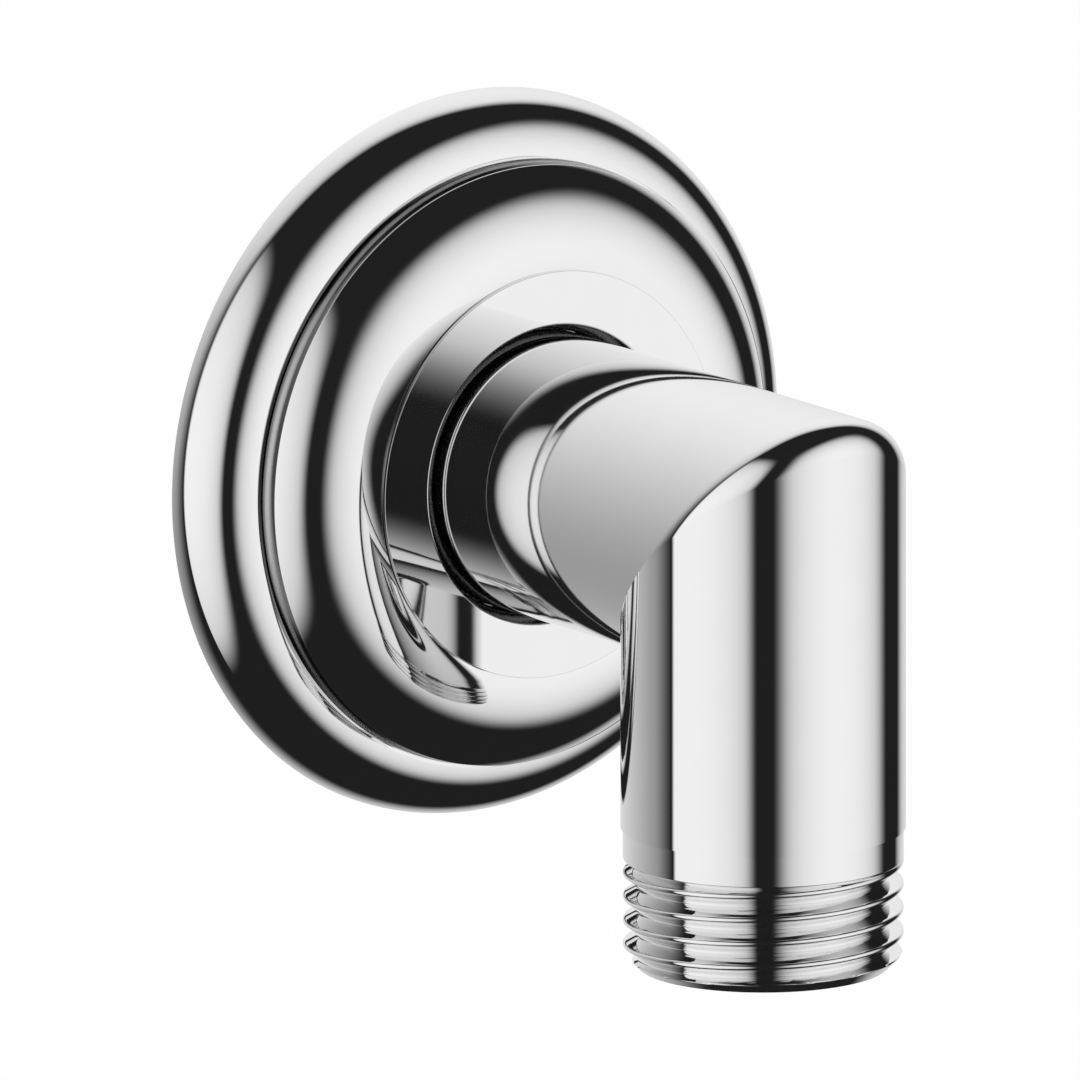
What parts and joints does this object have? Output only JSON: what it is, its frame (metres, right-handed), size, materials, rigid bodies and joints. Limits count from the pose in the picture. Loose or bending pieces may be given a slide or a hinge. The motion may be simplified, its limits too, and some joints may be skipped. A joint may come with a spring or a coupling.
{
  "type": "wall outlet elbow",
  "caption": "Chromed elbow that brings water out of a wall to a shower hose: stepped round rosette, mitred round tube, male thread down, non-return valve inside.",
  "frame": {"origin": "on the inlet axis, in the plane of the finished wall, at the back of the rosette", "axes": "+Y along the inlet axis into the wall, -Z along the outlet towards the hose, +X to the right as seen from the room"},
  "size_m": [0.055, 0.0635, 0.0601],
  "materials": {
    "chrome": "polished chrome plate over brass",
    "seal_rubber": "black moulded seal rubber",
    "valve_plastic": "moulded off-white acetal",
    "poppet_plastic": "moulded blue acetal",
    "spring_steel": "bright drawn stainless wire"
  },
  "bodies": {
    "fitting": {"elbow_body": "chrome", "rosette": "chrome", "rosette_o_ring": "seal_rubber", "wall_gasket": "seal_rubber", "valve_housing": "valve_plastic", "valve_o_ring": "seal_rubber", "valve_guide": "valve_plastic", "valve_spring": "spring_steel"},
    "poppet": {"valve_poppet": "poppet_plastic", "poppet_seal": "seal_rubber"}
  },
  "joints": [
    {"name": "valve_lift", "type": "slide", "parent": "fitting", "child": "poppet", "axis": [0, 0, -1], "range_m": [0, 0.0022], "stiffness_N_per_m": 100, "springref_m": -0.0015, "deforming": ["valve_spring"]}
  ]
}
